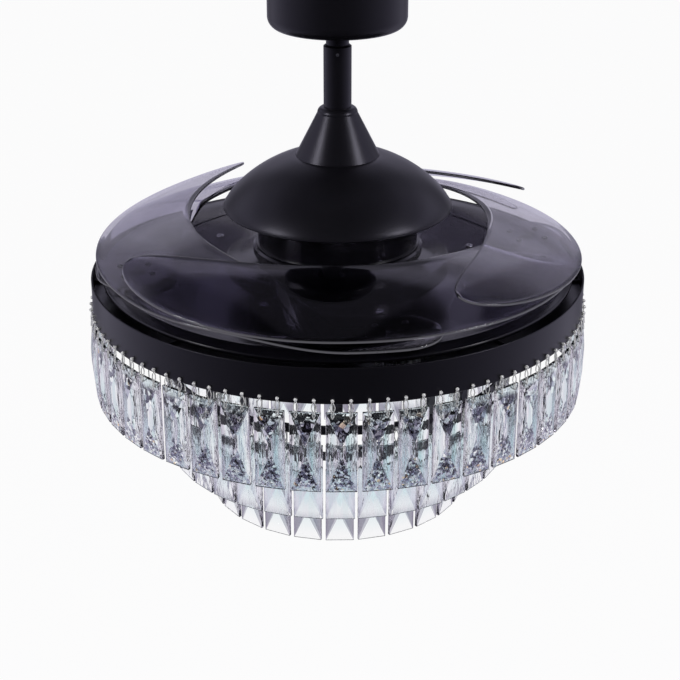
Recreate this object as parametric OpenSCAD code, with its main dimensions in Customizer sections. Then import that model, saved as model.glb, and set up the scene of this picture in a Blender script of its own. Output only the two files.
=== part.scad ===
// Retractable blade ceiling fan with three tiers of crystal drops.
// Millimetres, +Z up. The origin is the centre of the canopy's rim on the
// ceiling plane; -Y faces the viewer. Blades are drawn folded.

/* [Ceiling mount] */
// Radius of the canopy
canopy_r = 67.5; // [60:0.5:80]
// Drop of the canopy below the ceiling
canopy_h = 63; // [55:1:75]
// Distance between the two ceiling bolts
bolt_span = 88.9; // [70:0.1:92]
// Width of a ceiling bolt hole
bolt_d = 5.5; // [4.5:0.1:6.5]
// Radius of the hanger ball
ball_r = 21; // [19:0.5:23]
// Depth of the hanger ball's centre below the ceiling
ball_drop = 32; // [30:0.5:34]

/* [Downrod and yoke] */
// Radius of the downrod
rod_r = 13.7; // [12:0.1:14]
// Radius of the downrod's turned neck
neck_r = 11.2; // [10:0.1:11.5]
// Depth at which the neck swells to the full rod
neck_end = 79; // [75:1:85]
// Height of the yoke cover's lip above the motor cover's crown
cone_h = 49; // [44:1:60]
// Radius of the yoke cover at its lip
cone_r1 = 20; // [18:0.5:24]
// Radius of the yoke cover at its foot
cone_r2 = 43; // [38:0.5:50]

/* [Motor] */
// Radius of the domed motor cover
dome_r = 115; // [108:1:118]
// Depth of the motor cover's rim
dome_rim = 241; // [239:1:243]
// Height of the motor cover's dome
dome_h = 55; // [54:0.5:58]
// Gap between the motor cover's rim and the turning bells
rim_gap = 4; // [3:0.5:6]
// Radius of the motor's turning bells
motor_r = 80.7; // [76:0.1:84]
// Height of the turning bells
bell_h = 35; // [34:0.5:42]
// Number of stator teeth
stator_teeth = 18; // [12:3:24]

/* [Blade carrier] */
// Height of the boss between the bells and the carrier
boss_h = 21; // [19:0.5:26]
// Gap between the carrier's rolled edge and the drum band
carrier_gap = 9.5; // [6:0.5:14]
// Sheet thickness of the carrier
carrier_t = 2.2; // [1.8:0.1:2.4]

/* [Blades] */
// Distance of a blade's pivot in from the carrier's rolled edge
pivot_inset = 33.5; // [32:0.5:38]
// Rise of the blade's centre line over the band, at four points from the tip
blade_rise = [47, 34, 45, 22];
// Its reach beyond the pivot's radius, at the same points
blade_reach = [19, -25, -7, -2];
// Its pitch across the chord, at the same points
blade_pitch = [0.35, 0.32, 0.485, 0.05];
// Angle of the first pivot, counter-clockwise from +X
pivot_a = 14.5; // [0:0.5:45]
// Angle from a blade's tip round to its pivot
blade_sweep = 166; // [150:1:168]
// Half the width of a blade
blade_hw = 48; // [44:0.5:49]
// Angle over which the tip rounds off
tip_round = 60; // [40:1:70]
// Thickness of a blade
blade_t = 3; // [2:0.1:3.4]
// Radius of the blade's hub
hub_r = 34; // [30:0.5:36]

/* [Synchroniser] */
// Teeth on a pinion
pinion_n = 24; // [22:1:26]
// Tooth pitches round the ring
ring_n = 140; // [136:4:144]

/* [Drum band] */
// Outer radius of the band
band_r = 250; // [248:0.5:256]
// Depth of the band's top edge below the carrier's top
band_drop = 6; // [4:0.5:8]
// Height of the band
band_h = 35.4; // [33:0.1:36]
// Thickness of the band
band_t = 2; // [1.6:0.1:3]

/* [Crystal tiers] */
// Crystals on the outer, middle and inner tier
tier_count = [48, 36, 26];
// Radius of the middle tier's crystals
middle_r = 177; // [165:1:190]
// Radius of the inner tier's crystals
inner_r = 134; // [125:1:145]
// Gap between the band and the outer crystals
edge_gap = 8; // [6:0.5:12]
// Depth of the middle crystals' top edge below the band's
middle_drop = 115; // [100:1:125]
// Depth of the inner crystals' top edge below the band's
inner_drop = 165; // [140:1:180]
// Width of a crystal
drop_w = 27.5; // [24:0.5:29]
// Length of a crystal
drop_h = 80; // [60:1:90]
// Angle of the first crystal, counter-clockwise from +X
drop_a = 270.9; // [266:0.1:274]
// Thickness of a crystal at its ridge
drop_t = 10; // [7:0.5:12]
// Thickness of a crystal at its edges
drop_edge = 3; // [2:0.2:4]
// Length of a crystal's end facets
facet_h = 33; // [16:1:38]
// Spacing of a crystal's two hooks
hook_gap = 16.4; // [14:0.2:17]

/* [Lamp] */
// Radius of the lamp housing
lamp_r = 92; // [80:1:100]
// Height of the lamp housing
lamp_h = 34; // [28:1:40]

/* [Hidden] */
$fn = 96;
fit = 0.05;                       // running clearance round a shaft
ball_z = -ball_drop;
rim_z = -dome_rim;
crown_z = rim_z + dome_h - 3;     // the dome's flat crown, under the yoke cover
rod_foot = crown_z - 16;
pin_z = crown_z - 9;              // cross pin of the yoke
yoke_foot = rim_z + 1;
bell_top = rim_z - rim_gap;
bell_foot = bell_top - bell_h;
bell_mid = (bell_top + bell_foot + 1) / 2;    // split between the two bells
stator_r = motor_r - 13.7;
bell_bolt_r = motor_r - 4.5;
boss_bolt_r = motor_r - 20.7;
pan_z = bell_foot - boss_h;       // the carrier's flat top
pan_under = pan_z - carrier_t;
carrier_r = band_r - band_t - carrier_gap;
pivot_r = carrier_r - pivot_inset;
blade_z = pan_z + 4;              // underside of the blade root, on the hub
gear_m = 2 * pivot_r / (ring_n + pinion_n);   // tooth module
pitch_pin = gear_m * pinion_n / 2;
pitch_ring = gear_m * ring_n / 2;
gear_z = pan_z - 13;              // underside of the gear plane
gear_t = 4;
ring_bore = pitch_ring - 25;
guide_r = ring_bore - 7;          // bolt circle of the ring's guides
boss_r = guide_r - 30;
rim_bolt_r = boss_r - 9;
bearing_h = 7;
shaft_r = 8.5;
screw_r = 1.6;
band_z = pan_z - band_drop;       // the band's top edge
band_foot = band_z - band_h;
arm_z = band_z - 17;              // underside of the radial arms
ledge_w = 8;                      // ledge of the band, on which the arms lie
strap_n = 8;
tier_r = [band_r, middle_r, inner_r];
tier_z = [band_foot - edge_gap, band_z - middle_drop, band_z - inner_drop];
hoop_h = 9;
hole_in = 5;                      // hook holes below a crystal's top edge
hook_leg = [4.4 + edge_gap + hole_in, 20, 19];    // from the hoop's pin to the crystal's hole
hook_r = 0.8;
lamp_z = arm_z;                   // top of the lamp housing

// ---------- helpers ----------
// Cubic through four control values, u from 0 to 1.
function bez(c, u) = c[0] * pow(1 - u, 3) + 3 * c[1] * u * pow(1 - u, 2)
    + 3 * c[2] * u * u * (1 - u) + c[3] * pow(u, 3);
function clamp01(x) = min(1, max(0, x));
function smooth(a, b, x) = let(q = clamp01((x - a) / (b - a))) q * q * (3 - 2 * q);

module ring(r1, r2, z1, z2) {
    translate([0, 0, z1]) difference() {
        cylinder(r = r2, h = z2 - z1);
        translate([0, 0, -1]) cylinder(r = r1, h = z2 - z1 + 2);
    }
}
module tube_x(r, l) { rotate([0, 90, 0]) cylinder(r = r, h = l, center = true); }
module around(n, a0 = 0) { for (k = [0:n - 1]) rotate([0, 0, a0 + 360 * k / n]) children(); }
module at_pivot(k) {
    rotate([0, 0, pivot_a + 90 * (k - 1)]) translate([pivot_r, 0, 0]) children();
}

// ---------- ceiling mount ----------
module ceiling_bracket() {
    // Strap with two legs that carry the ball's seat, a tab for the receiver
    // and two ears for the canopy screws.
    color("#8e9094") {
        difference() {
            union() {
                translate([-56, -15, -2.5]) cube([112, 30, 2.5]);
                translate([-22, 14, -2.5]) cube([44, 36, 2.5]);
                for (s = [-1, 1]) {
                    translate([s * 30 - 1.25, -15, ball_z - 14]) cube([2.5, 30, -ball_z + 14]);
                    translate([s * 56 - (s > 0 ? 2.5 : 0), -10, -24]) cube([2.5, 20, 24]);
                }
                translate([-30, -15, ball_z - 16]) cube([60, 30, 6]);
                ring(14, 24, ball_z - 16, ball_z - 8);
            }
            for (s = [-1, 1]) translate([s * bolt_span / 2, 0, -3]) cylinder(d = bolt_d, h = 4);
            translate([0, 0, ball_z]) sphere(r = ball_r + fit);
            translate([0, 0, ball_z - 20]) cylinder(r = 16, h = 14);
            for (s = [-1, 1]) translate([s * 55, 0, -16]) tube_x(2, 8);
        }
        translate([-3, 17.5, ball_z - 14]) cube([6, 5.5, 16]);
    }
}
module canopy() {
    w = 1.6;
    f = 12;
    color("#24212d") difference() {
        rotate_extrude() difference() {
            union() {
                translate([0, -canopy_h + f]) square([canopy_r, canopy_h - f]);
                translate([0, -canopy_h]) square([canopy_r - f, f + 1]);
                translate([canopy_r - f, -canopy_h + f]) circle(r = f);
            }
            translate([-1, -canopy_h + f]) square([canopy_r - w + 1, canopy_h - f + 1]);
            translate([-1, -canopy_h + w]) square([canopy_r - f + 1, f]);
            translate([canopy_r - f, -canopy_h + f]) circle(r = f - w);
            translate([-1, -canopy_h - 1]) square([21, 6]);
        }
        for (s = [-1, 1]) translate([s * canopy_r, 0, -16]) tube_x(2, 8);
    }
}
module canopy_screws() {
    color("#3a3844") for (s = [-1, 1]) translate([s * canopy_r, 0, -16]) rotate([0, s * 90, 0]) {
        difference() {
            union() { cylinder(r = 4, h = 2.2); translate([0, 0, -16]) cylinder(r = 2, h = 16.5); }
            translate([-0.5, -5, 1.4]) cube([1, 10, 2]);
        }
    }
}
module receiver_box() {
    color("#d9d9d6") difference() {
        translate([-22, 26, -24.5]) cube([44, 26, 22]);
        for (x = [-15, 0, 15]) translate([x, 53, -13]) rotate([90, 0, 0]) cylinder(r = 2.5, h = 8);
    }
}
module ball_pin() {
    color("#c9cbd0") translate([0, 17, ball_z]) rotate([90, 0, 0]) cylinder(r = 3, h = 34);
}
module hanger_ball() {
    // The bore is a slot along X, so the rod can lean on the cross pin.
    relief = 2.2;
    color("#2b2a30") difference() {
        translate([0, 0, ball_z]) sphere(r = ball_r);
        for (s = [-1, 1]) translate([s * relief, 0, ball_z - 30]) cylinder(r = neck_r + fit, h = 60);
        translate([-relief, -neck_r - fit, ball_z - 30]) cube([2 * relief, 2 * (neck_r + fit), 60]);
        translate([0, 30, ball_z]) rotate([90, 0, 0]) cylinder(r = 3 + fit, h = 60);
        translate([-30, -30, ball_z + 14]) cube([60, 60, 10]);
        translate([-3.25, 15, ball_z - 20]) cube([6.5, 8, 40]);
    }
}

// ---------- downrod and yoke ----------
module downrod() {
    color("#24212d") difference() {
        union() {
            translate([0, 0, -neck_end]) cylinder(r = neck_r, h = neck_end + ball_z + 14);
            translate([0, 0, -neck_end - 1.5]) cylinder(r1 = rod_r, r2 = neck_r + 0.6, h = 1.5);
            translate([0, 0, rod_foot]) cylinder(r = rod_r, h = -rod_foot - neck_end - 1.5);
        }
        translate([0, 0, rod_foot - 1]) cylinder(r = 8.2, h = -rod_foot);
        translate([0, 30, ball_z]) rotate([90, 0, 0]) cylinder(r = 3, h = 60);
        translate([0, 0, pin_z]) tube_x(3, 40);
        translate([0, -rod_r + 5, -neck_end - 7.5]) rotate([90, 0, 0]) cylinder(r = screw_r, h = 7);
    }
}
module rod_screw() {
    color("#d4d6da") translate([0, -rod_r + 5, -neck_end - 7.5]) rotate([90, 0, 0]) difference() {
        cylinder(r = screw_r, h = 5.3);
        translate([0, 0, 4.2]) cylinder(r = 0.8, h = 2, $fn = 6);
    }
}
module yoke_cover() {
    // A cone with a rolled lip, 1.5 mm thick, standing on the dome.
    lip = cone_r1 - rod_r;
    foot = dome_z(cone_r2 - 1.5) + 0.02;
    c = [rod_r, crown_z + cone_h - lip];
    color("#24212d") rotate_extrude() polygon(concat(
        [[cone_r2 - 1.5, foot], [cone_r2, foot]],
        [for (a = [0:15:90]) c + lip * [cos(a), sin(a)]],
        [for (a = [90:-15:0]) c + (lip - 1.5) * [cos(a), sin(a)]]));
}
module motor_yoke() {
    color("#6f7176") difference() {
        union() {
            translate([0, 0, yoke_foot + 8]) cylinder(r = 30, h = crown_z - 3 - yoke_foot - 8);
            translate([0, 0, yoke_foot]) cylinder(r = 22, h = 8);
        }
        translate([0, 0, rod_foot - 5]) cylinder(r = rod_r, h = 30);
        translate([0, 0, yoke_foot - 1]) cylinder(r = shaft_r, h = 60);
        translate([0, 0, pin_z]) tube_x(3, 70);
        around(3, 30) translate([24, 0, crown_z - 11]) cylinder(r = 2, h = 10);
    }
}
module yoke_pin() {
    color("#c9cbd0") difference() {
        translate([0, 0, pin_z]) union() {
            tube_x(3, 66);
            translate([31.2, 0, 0]) tube_x(5, 2.4);
        }
        translate([-31.6, 0, pin_z - 5]) cylinder(r = 0.9, h = 10);
    }
}
module main_shaft() {
    // Hollow, for the lamp's wires, with a collar under the yoke and one on the arms.
    color("#9b9da2") difference() {
        union() {
            translate([0, 0, arm_z - 12]) cylinder(r = shaft_r, h = rod_foot - 5 - arm_z + 12);
            translate([0, 0, yoke_foot - 3]) cylinder(r = 11, h = 3);
            translate([0, 0, arm_z + 4]) cylinder(r = 12, h = 3);
        }
        translate([0, 0, arm_z - 13]) cylinder(r = 5, h = rod_foot - arm_z + 13);
    }
}

// ---------- motor ----------
module bell_bolts() { around(4, 18) translate([bell_bolt_r, 0, 0]) children(); }
module boss_bolts() { around(6, 15) translate([boss_bolt_r, 0, 0]) children(); }
// Height of the dome's outer face at radius r.
function dome_z(r) = rim_z + dome_h * pow(cos(asin(pow((r - 5) / (dome_r - 5), 1 / 1.2))), 1.2);
module dome_outline(r, drop) {
    // Superellipse from the crown, cut flat under the yoke cover, to the rim.
    n = 24;
    polygon(concat([[0, rim_z - drop], [0, crown_z - drop]],
        [for (i = [0:n]) let(a = 90 * i / n) [5 + (r - 5) * pow(sin(a), 1.2),
            min(crown_z, rim_z + dome_h * pow(cos(a), 1.2)) - drop]]));
}
module motor_cover() {
    color("#24212d") difference() {
        union() {
            rotate_extrude() difference() {
                dome_outline(dome_r, 0);
                dome_outline(dome_r - 1.8, 1.6);
                translate([-1, rim_z - 20]) square([20, dome_h + 40]);
            }
            ring(16, 30, crown_z - 3, crown_z - 0.6);
            ring(dome_r - 6, dome_r - 0.9, rim_z - 1.4, rim_z + 0.2);
        }
        around(3, 30) translate([24, 0, crown_z - 11]) cylinder(r = 2, h = 20);
    }
}
module cover_screws() {
    color("#3a3844") around(3, 30) translate([24, 0, 0]) union() {
        translate([0, 0, crown_z - 10]) cylinder(r = 2, h = 10.5);
        translate([0, 0, crown_z]) cylinder(r = 4, h = 2.4);
    }
}
module stator_core() {
    color("#7a7c80") difference() {
        union() {
            ring(11.5, stator_r - 27, bell_mid - 6, bell_mid + 6);
            around(stator_teeth) translate([stator_r - 29, -2, bell_mid - 6]) cube([27, 4, 12]);
            around(stator_teeth) translate([stator_r - 5, -5.2, bell_mid - 6]) cube([5, 10.4, 12]);
        }
        around(6) translate([26, 0, bell_mid - 8]) cylinder(r = 5, h = 20);
    }
    color("#7a7c80") ring(shaft_r, 11.5, bell_mid - 6, bell_mid + 6);
}
module stator_windings() {
    color("#b0622c") around(stator_teeth) translate([stator_r - 24, 0, bell_mid]) difference() {
        translate([0, -4.2, -9]) cube([16, 8.4, 18]);
        translate([-1, -2, -6]) cube([18, 4, 12]);
    }
}
module bearing_pair() { for (z = [bell_top - bearing_h, bell_foot - 1]) translate([0, 0, z]) children(); }
module bearing_inner_rings() { color("#c9cbd0") bearing_pair() ring(shaft_r, 12, 0, bearing_h); }
module bearing_balls() {
    color("#e2e4e8") bearing_pair() around(9) translate([15, 0, bearing_h / 2]) sphere(r = 3 - fit, $fn = 32);
}
module bearing_outer_rings() { color("#c9cbd0") bearing_pair() ring(18, 21, 0, bearing_h); }
module top_bell() {
    color("#24212d") {
        difference() {
            union() {
                ring(21, motor_r, bell_top - 4, bell_top);
                ring(motor_r - 9, motor_r, bell_mid, bell_top - 4);
                ring(21, 26, bell_top - bearing_h - 0.5, bell_top - 4);
                ring(motor_r - 5, motor_r + 1.6, bell_top - 3.2, bell_top - 1);
            }
            bell_bolts() translate([0, 0, bell_mid - 1]) cylinder(r = 2, h = bell_h);
        }
    }
}
module bottom_bell() {
    color("#24212d") difference() {
        union() {
            ring(21, motor_r, bell_foot, bell_foot + 4);
            ring(motor_r - 9, motor_r, bell_foot + 4, bell_mid);
            ring(21, 26, bell_foot - 1, bell_foot + bearing_h - 0.5);
            ring(motor_r - 5, motor_r + 2.2, bell_foot, bell_foot + 2.6);
        }
        bell_bolts() translate([0, 0, bell_foot - 1]) cylinder(r = 2, h = bell_h);
        boss_bolts() translate([0, 0, bell_foot - 2]) cylinder(r = 2, h = 8);
    }
}
module magnet_ring() {
    color("#4a4a50") ring(stator_r + 1, motor_r - 9, bell_mid - 8, bell_mid + 8);
}
module bell_screws() {
    color("#d4d6da") bell_bolts() {
        translate([0, 0, bell_foot]) cylinder(r = 2, h = bell_h + 0.5);
        translate([0, 0, bell_top]) cylinder(r = 3.4, h = 1.8);
    }
}

// ---------- blade carrier ----------
module rim_bolts() { around(8, 16) translate([rim_bolt_r, 0, 0]) children(); }
module guide_bolts() { around(8, 16) translate([guide_r, 0, 0]) children(); }
module carrier_boss() {
    // Stepped platform between the turning bells and the carrier.
    color("#1f1c27") difference() {
        rotate_extrude() polygon([[30, bell_foot], [motor_r + 3, bell_foot],
            [motor_r + 5, bell_foot - 2], [motor_r + 5, pan_z + 13], [boss_r - 13, pan_z + 10],
            [boss_r - 2, pan_z + 9], [boss_r, pan_z + 7], [boss_r, pan_z], [30, pan_z]]);
        boss_bolts() translate([0, 0, pan_z - 1]) cylinder(r = 2, h = boss_h + 2);
        rim_bolts() translate([0, 0, pan_z - 9]) cylinder(r = 2, h = 15);
        ring(36, boss_bolt_r - 8, pan_z - 1, pan_z + 12);
        ring(boss_bolt_r + 8, rim_bolt_r - 8, pan_z - 1, pan_z + 8);
    }
}
module blade_carrier() {
    // Pan with a raised track for the pivots, a shoulder and a rolled bead.
    z = pan_z;
    edge = carrier_r;
    bead = 2.5;
    c = [edge - bead, z - 5.5];
    color("#2b2835") difference() {
        rotate_extrude() polygon(concat(
            [[30, pan_under], [30, z], [edge - 54.5, z], [edge - 53.5, z + 0.6],
             [edge - 12.5, z + 0.6], [edge - 9.5, z + 1], [edge - 5.5, z - 0.6]],
            [for (a = [75:-15:-210]) c + bead * [cos(a), sin(a)]],
            [[edge - 7, z - 3], [edge - 11.5, pan_under]]));
        for (k = [1:4]) at_pivot(k) translate([0, 0, z - 10]) cylinder(r = 13, h = 20);
        boss_bolts() translate([0, 0, z - 10]) cylinder(r = 2, h = 20);
        rim_bolts() translate([0, 0, z - 10]) cylinder(r = 2, h = 20);
        guide_bolts() translate([0, 0, z - 10]) cylinder(r = 2, h = 20);
    }
}
module carrier_screws() {
    color("#d4d6da") {
        boss_bolts() translate([0, 0, pan_under]) {
            cylinder(r = 2, h = carrier_t + boss_h + 3);
            translate([0, 0, -2]) cylinder(r = 4, h = 2);
        }
        rim_bolts() translate([0, 0, pan_under]) {
            cylinder(r = 2, h = carrier_t + 5);
            translate([0, 0, -2]) cylinder(r = 4, h = 2);
        }
        guide_bolts() {
            translate([0, 0, pan_under - 5]) cylinder(r = 2, h = 5.5 + carrier_t);
            translate([0, 0, pan_z]) cylinder(r = 4, h = 1.8);
        }
    }
}
module pivot_bushes() {
    color("#b08d57") for (k = [1:4]) at_pivot(k) {
        ring(10 + fit, 13, pan_under - 0.4, pan_z + 0.6);
        ring(10 + fit, 16, pan_z + 0.6, pan_z + 1.4);
    }
}
module ring_guides() {
    // Flanged posts; the synchroniser ring's bore runs between the flanges.
    post = pan_under - gear_z - gear_t - 0.3;
    color("#3d3b42") guide_bolts() difference() {
        union() {
            translate([0, 0, pan_under - post]) cylinder(r = 10, h = post);
            translate([0, 0, gear_z - 0.3]) cylinder(r = 6.9, h = gear_t + 0.7);
            translate([0, 0, gear_z - 3.3]) cylinder(r = 10, h = 3);
        }
        translate([0, 0, pan_under - 5]) cylinder(r = 2, h = 6);
    }
}
module return_springs() {
    // Two turns of round wire about each blade's shaft, as triangles.
    seg = 18;
    turns = 2;
    sides = 6;
    wire = 0.7;
    coil = 13.2;
    z = pan_under - 1.7;
    n = seg * turns;
    pts = [for (i = [0:n], j = [0:sides - 1]) let(a = 360 * i / seg, b = 360 * j / sides)
        [(coil + wire * cos(b)) * cos(a), (coil + wire * cos(b)) * sin(a),
         z - 1.7 * i / seg + wire * sin(b)]];
    walls = [for (i = [0:n - 1], j = [0:sides - 1])
        let(a = i * sides + j, b = i * sides + (j + 1) % sides, c = b + sides, d = a + sides)
        each [[d, c, b], [d, b, a]]];
    ends = [[for (j = [0:sides - 1]) j], [for (j = [sides - 1:-1:0]) n * sides + j]];
    color("#c9cbd0") for (k = [1:4]) at_pivot(k) polyhedron(pts, concat(walls, ends));
}

// ---------- synchroniser ----------
// Involute profile of a tooth flank: polar angle at radius r.
function inv_deg(rb, r) = let(c = min(1, rb / r), a = acos(c)) tan(a) * 180 / PI - a;
// Half of a tooth's angle at radius r, thinned by the backlash.
function half_tooth(n, r) = let(rp = gear_m * n / 2, rb = rp * cos(20))
    90 / n - 0.16 / rp * 180 / PI + inv_deg(rb, rp) - inv_deg(rb, max(r, rb));
function tooth(n, a0) = let(rp = gear_m * n / 2, rb = rp * cos(20),
    r0 = rp - 1.2 * gear_m, r1 = rp + 0.95 * gear_m,
    rs = [r0, max(rb, r0 + 0.3), rp, r1])
    concat([for (r = rs) let(a = a0 - half_tooth(n, r)) r * [cos(a), sin(a)]],
        [for (i = [3:-1:0]) let(r = rs[i], a = a0 + half_tooth(n, r)) r * [cos(a), sin(a)]]);
module sync_ring() {
    // Toothed only where the pinions travel; a tooth gap faces each pivot.
    step = 360 / ring_n;
    color("#8e9094") translate([0, 0, gear_z]) linear_extrude(gear_t) difference() {
        polygon([for (k = [0:3], i = [-4:ring_n / 4 - 5]) let(a = pivot_a + 90 * k + (i + 0.5) * step) each
            (i <= 10 ? tooth(ring_n, a) : [(pitch_ring - 1.24 * gear_m) * [cos(a), sin(a)]])]);
        circle(r = ring_bore);
    }
}
module sync_pinion(k) {
    color("#8e9094") at_pivot(k) difference() {
        translate([0, 0, gear_z]) linear_extrude(gear_t) difference() {
            polygon([for (i = [0:pinion_n - 1]) each tooth(pinion_n, 360 * i / pinion_n)]);
            circle(r = 8);
        }
        around(4, 45) translate([18, 0, gear_z - 1]) cylinder(r = 4, h = 8);
    }
}
module sync_pinion_1() { sync_pinion(1); }
module sync_pinion_2() { sync_pinion(2); }
module sync_pinion_3() { sync_pinion(3); }
module sync_pinion_4() { sync_pinion(4); }

// ---------- blades ----------
// Centre line radius, height above the band, pitch and half width at the
// angle t round from the tip.
function flat_part(t) = smooth(124, 154, t);
function mid_r(t) = pivot_r + bez(blade_reach, t / blade_sweep) - blade_reach[3] * flat_part(t);
function mid_z(t) = band_z + bez(blade_rise, t / blade_sweep) * (1 - flat_part(t))
    + (blade_z + blade_t / 2 - band_z) * flat_part(t);
function pitch(t) = bez(blade_pitch, t / blade_sweep) * (1 - flat_part(t));
function half_w(t) =
    let(w = blade_hw - (blade_hw - 40) * smooth(100, 160, t),
        tip = 1 - pow(clamp01(1 - t / tip_round), 2.1),
        root = 1 - pow(clamp01((t - blade_sweep) / 12), 2))
    w * sqrt(max(0, tip)) * sqrt(max(0, root));
function blade_point(t, s, up) = let(r = mid_r(t) + s * half_w(t), a = t - blade_sweep)
    [r * cos(a), r * sin(a), mid_z(t) - s * half_w(t) * pitch(t) + up * blade_t / 2];
module blade(k) {
    // A ruled, twisted strip: stations round the sweep by points across the
    // chord, as triangles, with a flat root drilled for the hub.
    n = 44;
    m = 2;
    t0 = 0.6;
    t1 = blade_sweep + 11.7;
    ts = [for (i = [0:n]) let(u = i / n) t0 + (t1 - t0) * (u < 0.2 ? 5 * u * u : u)];
    pts = [for (t = ts, up = [-1, 1], j = [0:m]) blade_point(t, -1 + 2 * j / m, up)];
    row = 2 * (m + 1);
    loop = concat([for (j = [0:m]) j], [for (j = [m:-1:0]) m + 1 + j]);
    walls = [for (i = [0:n - 1], j = [0:row - 1])
        let(a = i * row + loop[j], b = i * row + loop[(j + 1) % row])
        each [[a, a + row, b], [b, a + row, b + row]]];
    caps = [loop, [for (j = [row - 1:-1:0]) n * row + loop[j]]];
    color("#6d6b78", 0.45) difference() {
        rotate([0, 0, pivot_a + 90 * (k - 1)]) polyhedron(pts, concat(walls, caps));
        at_pivot(k) {
            translate([0, 0, blade_z - 10]) cylinder(r = 8, h = 40);
            around(4, 45) translate([20, 0, blade_z - 10]) cylinder(r = screw_r, h = 40);
        }
    }
}
module blade_1() { blade(1); }
module blade_2() { blade(2); }
module blade_3() { blade(3); }
module blade_4() { blade(4); }
module blade_hub(k) {
    // Two-step disc on the carrier, journal through the bush, seat for the pinion.
    z = pan_z;
    color("#2b2835") at_pivot(k) difference() {
        union() {
            translate([0, 0, z + 1.6]) cylinder(r = hub_r, h = 1.4);
            translate([0, 0, z + 2]) cylinder(r = 27, h = 2);
            translate([0, 0, gear_z + gear_t]) cylinder(r = 10, h = z + 2 - gear_z - gear_t);
            translate([0, 0, gear_z]) cylinder(r = 8, h = blade_z + blade_t + 2 - gear_z);
        }
        translate([0, 0, gear_z - 1]) cylinder(r = 3, h = 30);
        around(4, 45) translate([20, 0, z]) cylinder(r = screw_r, h = 10);
    }
}
module blade_hub_1() { blade_hub(1); }
module blade_hub_2() { blade_hub(2); }
module blade_hub_3() { blade_hub(3); }
module blade_hub_4() { blade_hub(4); }
module hub_screws(k) {
    z = blade_z + blade_t;
    color("#d4d6da") at_pivot(k) around(4, 45) translate([20, 0, 0]) {
        translate([0, 0, z - 5]) cylinder(r = screw_r, h = 5.5);
        translate([0, 0, z]) cylinder(r = 3.2, h = 1.6);
    }
}
module hub_screws_1() { hub_screws(1); }
module hub_screws_2() { hub_screws(2); }
module hub_screws_3() { hub_screws(3); }
module hub_screws_4() { hub_screws(4); }

// ---------- drum band, arms and lamp ----------
function hole_z(i) = tier_z[i] - hole_in;
function hook_z(i) = hole_z(i) + hook_leg[i];
module at_hooks(i) {
    // Two stations for each crystal of tier i, square to the crystal.
    for (k = [0:tier_count[i] - 1], s = [-1, 1])
        rotate([0, 0, 360 * k / tier_count[i] + drop_a]) translate([0, s * hook_gap / 2, 0]) children();
}
module hook_holes(i) {
    at_hooks(i) translate([tier_r[i] - 6, 0, hook_z(i)]) rotate([0, 90, 0]) cylinder(r = hook_r, h = 11);
}
module drum_band() {
    // Rolled hoop with an inner ledge for the arms and a hole for each hook.
    color("#24212d") difference() {
        union() {
            ring(band_r - band_t, band_r, band_foot, band_z);
            ring(band_r - band_t - ledge_w, band_r - band_t, arm_z - 2, arm_z);
        }
        hook_holes(0);
        around(strap_n) translate([band_r - band_t - ledge_w / 2, 0, arm_z - 3]) cylinder(r = screw_r, h = 4);
    }
}
module radial_arms() {
    color("#1f1c27") difference() {
        union() {
            ring(shaft_r, 40, arm_z, arm_z + 4);
            intersection() {
                around(strap_n) translate([36, -7, arm_z]) cube([band_r, 14, 3]);
                translate([0, 0, arm_z - 1]) cylinder(r = band_r - band_t, h = 10);
            }
        }
        around(4, 22.5) translate([28, 0, arm_z - 1]) cylinder(r = screw_r, h = 8);
        for (r = [band_r - band_t - ledge_w / 2, middle_r, inner_r])
            around(strap_n) translate([r, 0, arm_z - 1]) cylinder(r = screw_r, h = 8);
    }
}
module frame_screws() {
    // One size of screw: band to arms, straps to arms, lamp to arms.
    color("#3a3844") {
        for (r = [band_r - band_t - ledge_w / 2, middle_r, inner_r]) around(strap_n) translate([r, 0, 0]) {
            translate([0, 0, arm_z - 2]) cylinder(r = screw_r, h = 5.5);
            translate([0, 0, arm_z + 3]) cylinder(r = 2.8, h = 1.8);
        }
        around(4, 22.5) translate([28, 0, 0]) {
            translate([0, 0, arm_z - 1.5]) cylinder(r = screw_r, h = 6);
            translate([0, 0, arm_z + 4]) cylinder(r = 2.8, h = 1.8);
        }
    }
}
module shaft_nut() {
    color("#c9cbd0") difference() {
        translate([0, 0, arm_z - 9.5]) cylinder(r = 14, h = 8, $fn = 6);
        translate([0, 0, arm_z - 12]) cylinder(r = shaft_r, h = 12);
    }
}
module lamp_housing() {
    // Pan under the arms, with a ledge that carries the board and diffuser.
    z = lamp_z;
    color("#1f1c27") difference() {
        union() {
            ring(shaft_r, lamp_r, z - 1.5, z);
            ring(lamp_r - 1.6, lamp_r, z - lamp_h, z);
            ring(lamp_r - 4, lamp_r - 1.6, z - lamp_h + 6, z - lamp_h + 8);
        }
        around(4, 22.5) translate([28, 0, z - 2]) cylinder(r = screw_r, h = 8);
    }
}
module led_panel() {
    // Ring board on the ledge, with three rows of lamps under it.
    z = lamp_z - lamp_h + 8;
    color("#f4f2ea") {
        ring(20, lamp_r - 1.6, z, z + 1.6);
        for (i = [0:2]) around(12 + 8 * i, 7 * i) translate([36 + 20 * i - 2, -2, z - 0.9]) cube([4, 4, 1]);
    }
}
module led_driver() {
    color("#e6e6e2") difference() {
        translate([lamp_r - 68, -22, lamp_z - 19.5]) cube([46, 44, 18]);
        for (s = [-1, 1]) translate([lamp_r - 45, s * 18, lamp_z - 21]) cylinder(r = 1.8, h = 8);
    }
}
module diffuser() {
    z = lamp_z - lamp_h;
    color("#f7f6f0", 0.8) difference() {
        union() {
            translate([0, 0, z + 4]) cylinder(r = lamp_r - 2, h = 2);
            translate([0, 0, z - 8]) cylinder(r1 = lamp_r - 12, r2 = lamp_r - 5, h = 12);
        }
        translate([0, 0, z - 6]) cylinder(r1 = lamp_r - 14, r2 = lamp_r - 7, h = 13);
    }
}
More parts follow.
